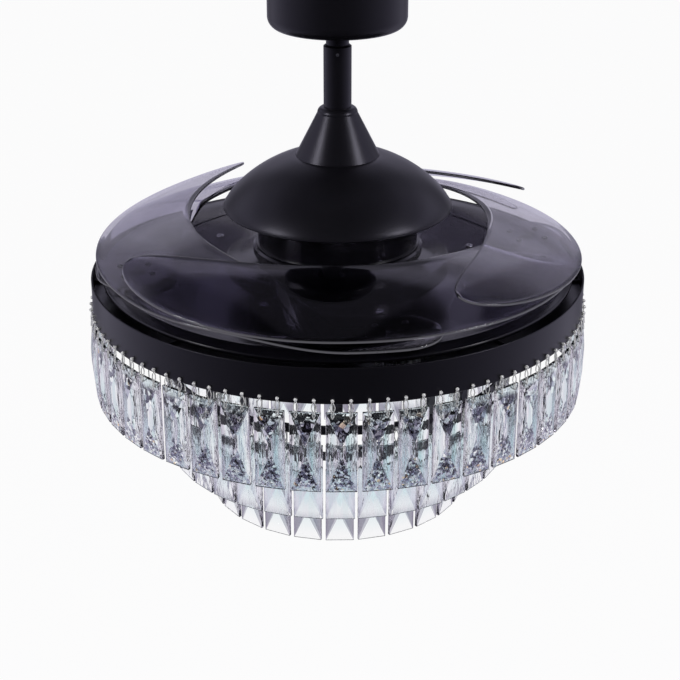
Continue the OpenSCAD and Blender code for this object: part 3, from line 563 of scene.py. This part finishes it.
# ---------- screws ----------
# Pan-head machine screws with a cross recess, pressed and rolled: bright plated ones on the rotor, black
# ones in the blade hubs and the frame. The canopy's two are slotted and stay as they were turned.
pivot_r, pivot_a, hub_bolt_r = 205.0, 14.5, 20.0
rotor_top, pan_top, blade_top, arm_top = -245.0, -301.0, -294.0, -321.0
pan_under = pan_top - 2.2
bell_bolt_r, boss_bolt_r, rim_bolt_r, guide_r = 76.2, 60.0, 104.0, 143.0
ledge_bolt_r, housing_bolt_r, outer_r, middle_r, inner_r = 244.0, 28.0, 250.0, 177.0, 134.0
m4_shank, m3_shank = 1.95, 1.55

bright_screw = finish("plated_screw", (0.66, 0.66, 0.68), grain=1500.0, smooth=0.16, rough=0.26, metal=1.0)
black_screw = finish("black_screw", (0.03, 0.029, 0.034), grain=1500.0, smooth=0.3, rough=0.42, metal=0.6)
dress(black_screw, "canopy_screws", "cover_screws")


def screw_shape(head_r, head_h, shank_r, shank_l, around=24):
    """Screw pointing down from z = 0 under its head: a profile of radius and height turned about its axis,
    with the head's top sunk along four arms 90 degrees apart to cut the cross."""
    side = np.array([(shank_r * 0.6, -shank_l), (shank_r, -shank_l + 0.5), (shank_r, 0.0), (head_r, 0.0),
                     (head_r, head_h * 0.35), (head_r * 0.93, head_h * 0.7), (head_r * 0.74, head_h * 0.94),
                     (head_r * 0.58, head_h), (head_r * 0.5, head_h), (head_r * 0.2, head_h), (0.01, head_h)])
    turn = np.arange(around) * 2 * np.pi / around
    arm = np.abs((np.arange(around) + around // 8) % (around // 4) - around // 8) < 1
    r = np.repeat(side[:, :1], around, axis=1)
    z = np.repeat(side[:, 1:], around, axis=1)
    z[8:10, arm] -= head_h * 0.55
    z[9:] = np.minimum(z[9:], head_h * 0.45)
    verts = np.stack([r * np.cos(turn), r * np.sin(turn), z], axis=2).reshape(-1, 3)
    return verts, skin(len(side), around, "capped")


def spread(count, first):
    """Angles of count equal steps round a circle, from the first one in degrees."""
    return np.radians(first + 360.0 * np.arange(count) / count)


def bolt_circle(count, first, radius, z, centre=(0.0, 0.0)):
    """Places of count bolts on a circle, the first at an angle in degrees."""
    a = spread(count, first)
    return np.stack([centre[0] + radius * np.cos(a), centre[1] + radius * np.sin(a), 0 * a + z], axis=1)


def repeat_shape(verts, faces, angles, centres=(0.0, 0.0, 0.0)):
    """Copies of a shape, each turned about the vertical axis by its angle and then moved by its centre."""
    a = angles[:, None]
    x, y, z = verts.T
    spots = np.stack([x * np.cos(a) - y * np.sin(a), x * np.sin(a) + y * np.cos(a), z + 0 * a], axis=2)
    shifts = np.arange(len(angles)) * len(verts)
    return ((spots + np.reshape(centres, (-1, 1, 3))).reshape(-1, 3),
            [[i + shift for i in face] for shift in shifts for face in faces])


def joined(shapes):
    """One shape of several, each given by its points and its faces."""
    verts, faces, count = [], [], 0
    for points, polygons in shapes:
        verts.append(points)
        faces += [[i + count for i in polygon] for polygon in polygons]
        count += len(points)
    return np.concatenate(verts), faces


def put_screws(name, sets, paint, body, node):
    """One piece of all a node's screws, each turned by its bearing from the axis; a set is a screw shape, its
    places and +1 or -1 for up or down."""
    verts, faces = joined([
        repeat_shape(verts * (1, up, up), faces, np.arctan2(places[:, 1], places[:, 0]), places)
        for (verts, faces), places, up in sets])
    stand_in(new_object(name, verts * MM, faces), paint, body, node)


put_screws("bell_screw_set",
           [(screw_shape(3.4, 1.8, m4_shank, 34.5), bolt_circle(4, 18, bell_bolt_r, rotor_top), 1)],
           bright_screw, "rotor", "bell_screws")
put_screws("carrier_screw_set",
           [(screw_shape(4, 2, m4_shank, 26.0), bolt_circle(6, 15, boss_bolt_r, pan_under), -1),
            (screw_shape(4, 2, m4_shank, 7.0), bolt_circle(8, 16, rim_bolt_r, pan_under), -1),
            (screw_shape(4, 1.8, m4_shank, 7.0), bolt_circle(8, 16, guide_r, pan_top), 1)],
           bright_screw, "rotor", "carrier_screws")
for k in range(4):
    pivot = pivot_a + 90.0 * k
    centre = (pivot_r * np.cos(np.radians(pivot)), pivot_r * np.sin(np.radians(pivot)))
    hub_bolts = bolt_circle(4, pivot + 45, hub_bolt_r, blade_top, centre)
    put_screws(f"hub_screw_set_{k + 1}", [(screw_shape(3.2, 1.6, m3_shank, 4.9), hub_bolts, 1)], black_screw,
               f"blade_arm_{k + 1}", f"hub_screws_{k + 1}")
arm_bolts = np.concatenate([bolt_circle(8, 0, r, arm_top) for r in (ledge_bolt_r, middle_r, inner_r)])
put_screws("frame_screw_set",
           [(screw_shape(2.8, 1.8, m3_shank, 4.9), arm_bolts, 1),
            (screw_shape(2.8, 1.8, m3_shank, 5.4), bolt_circle(4, 22.5, housing_bolt_r, arm_top + 1), 1)],
           black_screw, "fixture", "frame_screws")

# ---------- blades ----------
# Four curved acrylic blades, smoky and clear, folded round the motor. Each is one moulded strip with round
# edges that twists from its tip to a flat root on the hub. Its outer edge has a painted highlight, a paler
# colour and a faint painted glow, and its inner one is painted dark as shade.
sweep, tip_round, root_round = 166.0, 60.0, 12.0
blade_thick, blade_half, root_narrowing, camber = 3.0, 48.0, 8.0, 3.5
root_z, band_z = -295.5, -307.0
radius_controls, root_r_shift = (19.0, -25.0, -7.0, -2.0), 2.0
height_controls = (47.0, 34.0, 45.0, 22.0)
pitch_controls = (0.35, 0.32, 0.485, 0.05)
flattens, narrows, loses_camber = (124.0, 154.0), (100.0, 160.0), (110.0, 150.0)
strip_start, strip_end = 0.06, 11.97
# Where the edge attribute crosses these bands, the outer edge gets a painted highlight and glow, and the
# inner edge gets painted shade, nearly black.
painted_highlight_band, painted_shade_band = (0.5, 0.95), (-0.8, -0.2)
painted_edge_glow, painted_highlight_colour, painted_shade_colour = (0.9, 0.88, 1.0), (0.85, 0.84, 0.9), (0.01, 0.01, 0.013)


def bezier(controls, u):
    """Cubic through its four control values, as u goes from 0 to 1."""
    a, b, c, d = controls
    return a * (1 - u) ** 3 + 3 * b * u * (1 - u) ** 2 + 3 * c * u * u * (1 - u) + d * u ** 3


def smooth_step(low, high, x):
    """0 below low, 1 above high and 3q^2 - 2q^3 between them."""
    q = np.clip((x - low) / (high - low), 0.0, 1.0)
    return q * q * (3 - 2 * q)


def blade_lines(t):
    """Radius, height, pitch and half width of the blade's middle line, t degrees round from its tip."""
    u = t / sweep
    flat = smooth_step(*flattens, t)
    radius = pivot_r + bezier(radius_controls, u) + root_r_shift * flat
    height = band_z + bezier(height_controls, u) * (1 - flat) + (root_z - band_z) * flat
    pitch = bezier(pitch_controls, u) * (1 - flat)
    tip = 1 - np.clip(1 - t / tip_round, 0, 1) ** 2.1
    root = 1 - np.clip((t - sweep) / root_round, 0, 1) ** 2
    half = (blade_half - root_narrowing * smooth_step(*narrows, t)) * np.sqrt(np.maximum(tip * root, 0))
    return radius, height, pitch, half


def blade_mesh(name, turn, stations=170, across=15, edge=7):
    """Closed strip: at each station a flat oval section, whose ends are half circles of the blade's
    thickness, is laid across the chord, tilted by the pitch and arched by the camber; stations crowd towards
    both ends by a cosine. The "edge" attribute is the bulge of the round edges, up to 1 on the outer and -1
    on the inner one."""
    u = (1 - np.cos(np.pi * np.linspace(0, 1, stations))) / 2
    u = 0.35 * u + 0.65 * np.linspace(0, 1, stations)
    t = strip_start + (sweep + strip_end - strip_start) * u
    radius, height, pitch, half = (line[:, None] for line in blade_lines(t))
    thin = np.minimum(blade_thick / 2, half)
    arc = np.linspace(-np.pi / 2, np.pi / 2, edge)
    flat = np.linspace(1, -1, across)[1:-1]
    side = np.concatenate([np.ones(edge), flat, -np.ones(edge), -flat])
    bulge = np.concatenate([np.cos(arc), 0 * flat, -np.cos(arc), 0 * flat])
    lift = np.concatenate([np.sin(arc), np.ones(len(flat)), -np.sin(arc), -np.ones(len(flat))])
    over = side * (half - thin) + bulge * thin
    angle = np.radians(t[:, None] - sweep + turn)
    arch = camber * (1 - smooth_step(*loses_camber, t[:, None])) * (0.8 - side ** 2) * half / blade_half
    place = np.stack([(radius + over) * np.cos(angle), (radius + over) * np.sin(angle),
                      height - over * pitch + arch + lift * thin], axis=2).reshape(-1, 3)
    strip = new_object(name, place * MM, skin(stations, len(side), "capped", flip=True), smooth=True)
    strip.data.attributes.new("edge", "FLOAT", "POINT").data.foreach_set("value", np.tile(bulge, stations))
    return strip


smoky = finish("smoky_acrylic", (0.46, 0.44, 0.54), (0.41, 0.39, 0.47), grain=60.0, smudge=9.0, smooth=0.0,
               rough=0.035, bump=0.02, Transmission_Weight=1.0, IOR=1.49, Emission_Strength=0.1)
tree = smoky.tree
# The emission is a faint painted glow along the outer edges. With the paler painted highlight colour it
# lights that edge, and the inner edge is painted dark as shade.
edge = tree.nodes.new("ShaderNodeAttribute")
edge.attribute_name = "edge"
painted_highlight_edge = ramp(tree, edge.outputs["Fac"], 0.0, 1.0, painted_highlight_band)
painted_shade_edge = ramp(tree, edge.outputs["Fac"], 1.0, 0.0, painted_shade_band)
painted_glow = blend_colour(tree, painted_highlight_edge, (0.0, 0.0, 0.0), painted_edge_glow)
tree.links.new(painted_glow, smoky.shader.inputs["Emission Color"])
clear_or_painted_highlight = blend_colour(tree, painted_highlight_edge, smoky.worn.outputs["Colour"], painted_highlight_colour)
tree.links.new(blend_colour(tree, painted_shade_edge, clear_or_painted_highlight, painted_shade_colour), smoky.shader.inputs["Base Color"])
for k in range(4):
    stand_in(blade_mesh(f"smoky_blade_{k + 1}", pivot_a + 90.0 * k), smoky, f"blade_arm_{k + 1}",
             f"blade_{k + 1}")

# ---------- crystals ----------
# Bars of pressed and cut lead glass in three tiers, ridged on both faces with long end facets. The fine-cut
# ends are painted with dark and bright fragments and glints, a painted reflection of what lies behind; the
# long sides are painted with teal and lilac reflections and a white highlight along the ridge, and with
# painted shade in the lower tiers.
drop_w, drop_h, ridge, rim, facet, chamfer = 28.3, 80.0, 5.0, 1.5, 33.0, 0.35
drop_a = 270.9
tiers = (("outer", 48, outer_r, 350.4), ("middle", 36, middle_r, 422.0), ("inner", 26, inner_r, 472.0))
# Colour stops of the painted reflections in the end facets, from painted dark fragments to white painted
# glints; the last is a painted orange glint.
painted_fragment_stops = ((0.0, (0.05, 0.045, 0.075)), (0.38, (0.3, 0.28, 0.4)), (0.6, (0.62, 0.68, 0.74)),
             (0.8, (1.0, 1.0, 1.0)), (0.985, (1.0, 0.6, 0.3)))
# Colour stops of the painted reflections on the long sides; the white stop at the middle is a painted
# highlight along the ridge.
painted_side_reflections = ((0.02, (0.56, 0.53, 0.62)), (0.12, (0.84, 0.83, 0.88)), (0.24, (0.68, 0.76, 0.8)),
              (0.36, (0.82, 0.81, 0.87)), (0.45, (0.66, 0.63, 0.73)), (0.5, (1.0, 1.0, 1.0)),
              (0.57, (0.74, 0.71, 0.8)), (0.69, (0.55, 0.71, 0.74)), (0.8, (0.74, 0.82, 0.85)),
              (0.93, (0.9, 0.89, 0.94)), (0.99, (0.56, 0.53, 0.62)))
# Painted shade for the bottom tier's fangs, a painted lilac reflection for the middle tier's and a painted
# pale top over both.
painted_dark_fang, painted_lilac_fang, painted_pale_fang_top = (0.2, 0.18, 0.26), (0.8, 0.78, 0.88), (0.92, 0.94, 0.96)
# The end facets' clear foot and the painted teal reflection at their top.
clear_foot, painted_teal_top = (0.98, 0.98, 0.99), (0.8, 0.89, 0.92)
# Heights in metres between which the painted fragments, painted reflections and painted shade change from one
# tier to the next.
painted_fragments_above, painted_tints_above, painted_fang_shade_above = (-0.437, -0.428), (-0.505, -0.43), (-0.53, -0.49)
# Shares of a drop's height, from its foot, between which it changes along the drop.
cell_waist, foot_share, crown_share = (0.49, 0.51), (0.0, 0.3), (0.86, 0.93)
clear_share, lower_share = (0.08, 0.4), (0.3, 0.5)
cells_at_foot, cells_at_top, facet_seam = 400.0, 190.0, (0.0, 0.03)
painted_foot_glints, painted_crown_share, lower_painted_tint = 0.5, 0.25, 0.25
streak_stretch, streak_scale, streak_shift, facet_tilt = (1.0, 1.0, 0.16), 170.0, 0.5, 0.38


def crystal_shape(radius, top):
    """One bar: four outline corners on each face and the two ends of its ridge, a facet's length from each
    end; and each corner's share of the width and height, for the cut's pattern."""
    w, low = drop_w / 2, -drop_h
    verts = []
    for side in (1, -1):
        verts += [(side * rim, -w, 0), (side * rim, w, 0), (side * rim, w, low), (side * rim, -w, low),
                  (side * ridge, 0, -facet), (side * ridge, 0, low + facet)]
    front = [(4, 1, 0), (4, 5, 2, 1), (5, 3, 2), (5, 4, 0, 3)]
    back = [tuple(i + 6 for i in reversed(f)) for f in front]
    walls = [(7, 6, 0, 1), (8, 7, 1, 2), (9, 8, 2, 3), (6, 9, 3, 0)]
    verts = np.array(verts, float)
    share = np.stack([verts[:, 1] / drop_w + 0.5, verts[:, 2] / drop_h + 1], axis=1)
    return verts + (radius, 0, -top), front + back + walls, share


crystal = finish("cut_crystal", (0.93, 0.93, 0.95), grain=30.0, smudge=40.0, smooth=0.0, rough=0.008,
                 bump=0.5, depth=0.0014, Transmission_Weight=1.0, IOR=1.46)
tree, bumps = crystal.tree, crystal.bumps
nodes, links = tree.nodes, tree.links
bar = nodes.new("ShaderNodeUVMap")
bar.uv_map = "bar"
over, up = axes(tree, bar.outputs[0])[:2]
spot = coordinate(tree)
height = axes(tree, spot)["Z"]

# The end facets are the triangles where the distance from the end and from the middle, each as a share of its
# full length, add up to less than 1.
off_middle = maths(tree, "ABSOLUTE", maths(tree, "MULTIPLY_ADD", over, 2.0, -1.0))
from_end = maths(tree, "MINIMUM", up, maths(tree, "SUBTRACT", 1.0, up))
inset = maths(tree, "SUBTRACT", maths(tree, "MULTIPLY_ADD", from_end, -drop_h / facet, 1.0), off_middle)
end_facet = ramp(tree, inset, 0.0, 1.0, facet_seam)

# Each cell of the fine cut is painted as one fragment of dark or bright reflected light, with more painted
# glints near the foot. Only the outer tier is painted like this, and only faintly at its drops' tops; the
# tiers below are painted clear, with a painted teal tint towards the top.
cells = nodes.new("ShaderNodeTexVoronoi")
links.new(spot, cells.inputs["Vector"])
links.new(ramp(tree, up, cells_at_foot, cells_at_top, cell_waist), cells.inputs["Scale"])
parts = nodes.new("ShaderNodeSeparateColor")
links.new(cells.outputs["Color"], parts.inputs[0])
draw = parts.outputs[0]
painted_glint = maths(tree, "ADD", draw, maths(tree, "MULTIPLY", ramp(tree, up, painted_foot_glints, 0.0, foot_share),
                                       maths(tree, "SUBTRACT", 1.0, draw)))
painted_fragment_mask = maths(tree, "MULTIPLY", ramp(tree, height, 0.0, 1.0, painted_fragments_above),
                  ramp(tree, up, 1.0, painted_crown_share, crown_share))
clear = blend_colour(tree, ramp(tree, up, 0.0, 1.0, clear_share), clear_foot, painted_teal_top)
painted_breakup = blend_colour(tree, painted_fragment_mask, clear, colour_ramp(tree, painted_glint, painted_fragment_stops, steps=True))

# The long sides take a painted reflection, grey, lilac and teal with a painted white highlight on the ridge,
# from the place across the bar, shifted by streaks drawn out along it. Below the outer tier they turn to
# fangs under a painted pale top, a painted lilac reflection in the middle tier and painted shade, dark, in
# the bottom one.
streaks = noise(tree, vector_maths(tree, "MULTIPLY", spot, streak_stretch)[0], streak_scale, 2.0)
painted_tint_place = maths(tree, "MULTIPLY_ADD", streaks, streak_shift, maths(tree, "ADD", over, -streak_shift / 2))
# Painted shade on the fangs below the first height, painted lilac above the second.
painted_fang = blend_colour(tree, ramp(tree, height, 0.0, 1.0, painted_fang_shade_above), painted_dark_fang, painted_lilac_fang)
painted_lower_sides = blend_colour(tree, ramp(tree, up, 0.0, 1.0, lower_share), painted_fang, painted_pale_fang_top)
sides = blend_colour(tree, ramp(tree, height, lower_painted_tint, 1.0, painted_tints_above), painted_lower_sides,
                     colour_ramp(tree, painted_tint_place, painted_side_reflections))
links.new(blend_colour(tree, end_facet, sides, painted_breakup), crystal.shader.inputs["Base Color"])

# Each cell also leans its own way, which scatters the view through the facet.
lean = vector_maths(tree, "SUBTRACT", cells.outputs["Color"], (0.5, 0.5, 0.5))[0]
lean_by = maths(tree, "MULTIPLY", maths(tree, "MULTIPLY", end_facet, painted_fragment_mask), facet_tilt)
tilted = vector_maths(tree, "MULTIPLY_ADD", lean, lean_by, bumps.outputs[0])[0]
links.new(streaks, bumps.inputs["Height"])
links.new(vector_maths(tree, "NORMALIZE", tilted)[0], crystal.shader.inputs["Normal"])

for tier, count, radius, top in tiers:
    verts, faces, share = crystal_shape(radius, top)
    places, faces = repeat_shape(verts, faces, spread(count, drop_a))
    drops = new_object(f"{tier}_crystal_drops", places * MM, faces)
    corner = np.empty(len(drops.data.loops), dtype=np.int32)
    drops.data.loops.foreach_get("vertex_index", corner)
    drops.data.uv_layers.new(name="bar").data.foreach_set("uv", share[corner % len(verts)].ravel())
    bevel = drops.modifiers.new("ground_edges", "BEVEL")
    bevel.width = chamfer * MM
    bevel.segments = 1
    stand_in(drops, crystal, "fixture", f"{tier}_crystals")

# ---------- hooks ----------
# A ball-headed pin through the hoop, bent down behind it and out through the crystal, with a bow of wire in
# front that ties the two. All are bright plated steel.
hook_gap, hole_in, hook_legs = 16.4, 5.0, (17.4, 20.0, 19.0)
ball_r, pin_r, bow_r = 1.9, 0.75, 0.6
pin_start, pin_back, pin_front = 1.0, 5.5, 2.6
bow_start, bow_front = 1.2, 1.6
bow_down = np.array([0.0, 0.12, 0.26, 0.42, 0.55, 0.7, 0.86, 1.0])
bow_half = np.array([0.3, 0.8, 1.9, 2.3, 1.5, 0.55, 1.3, 0.3])


def wire(path, radius, sides, beside, closed=False):
    """Tube along a path of points in one plane: at each, a polygon across the path, spanned by the plane's
    normal and its cross product with the path's direction."""
    path = np.asarray(path, float)
    run = np.roll(path, -1, axis=0) - np.roll(path, 1, axis=0) if closed else np.gradient(path, axis=0)
    run /= np.linalg.norm(run, axis=1, keepdims=True)
    beside = np.broadcast_to(np.asarray(beside, float), path.shape)
    up = np.cross(run, beside)
    a = (np.arange(sides) * 2 * np.pi / sides)[None, :, None]
    ringed = path[:, None] + radius * (np.cos(a) * beside[:, None] + np.sin(a) * up[:, None])
    return ringed.reshape(-1, 3), skin(len(path), sides, "joined" if closed else "capped")


def ball(centre, radius, around=6, rings=4):
    """Sphere of latitude rings, closed by a point at each pole of the X axis."""
    lat = (np.pi * np.arange(1, rings) / rings)[:, None]
    a = np.arange(around) * 2 * np.pi / around
    hull = np.stack([np.cos(lat) + 0 * a, np.sin(lat) * np.cos(a), np.sin(lat) * np.sin(a)], axis=2)
    hull = hull.reshape(-1, 3)
    verts = np.concatenate([hull, [(1, 0, 0), (-1, 0, 0)]]) * radius + centre
    here, ahead = np.arange(around), np.roll(np.arange(around), -1)
    foot = (rings - 2) * around
    poles = [[len(hull), h, n] for h, n in zip(here, ahead)]
    poles += [[len(hull) + 1, foot + n, foot + h] for h, n in zip(here, ahead)]
    return verts, skin(rings - 1, around, "open", flip=True) + poles


def hook_shape(radius, hole, leg, side):
    """One hook: ball, bent pin and bow. The bow's half width swells and pinches twice from the ball to the
    hole."""
    hoop = math.sqrt(radius ** 2 - hook_gap ** 2 / 4)
    top, y = -hole + leg, side * hook_gap / 2
    pin = [(hoop + pin_start, y, top), (radius - pin_back, y, top), (radius - pin_back, y, -hole),
           (radius + pin_front, y, -hole)]
    right = np.stack([hoop + bow_start + (radius + bow_front - hoop) * bow_down, y + bow_half,
                      top - bow_start - (leg - bow_front) * bow_down], axis=1)
    left = right[::-1] * (1, -1, 1) + (0, 2 * y, 0)
    return joined([ball((hoop + ball_r, y, top), ball_r), wire(pin, pin_r, 4, (0, 1, 0)),
                   wire(np.concatenate([right, left]), bow_r, 3, (1, 0, 0), closed=True)])


chrome = finish("bright_nickel", (0.96, 0.96, 0.94), grain=2000.0, smooth=0.2, rough=0.3, bump=0.02,
                metal=0.1)
verts, faces = joined([
    repeat_shape(*hook_shape(radius, top + hole_in, leg, side), spread(count, drop_a))
    for (_, count, radius, top), leg in zip(tiers, hook_legs) for side in (-1, 1)])
stand_in(new_object("crystal_bow_hooks", verts * MM, faces, smooth=True), chrome, "fixture", "crystal_hooks")
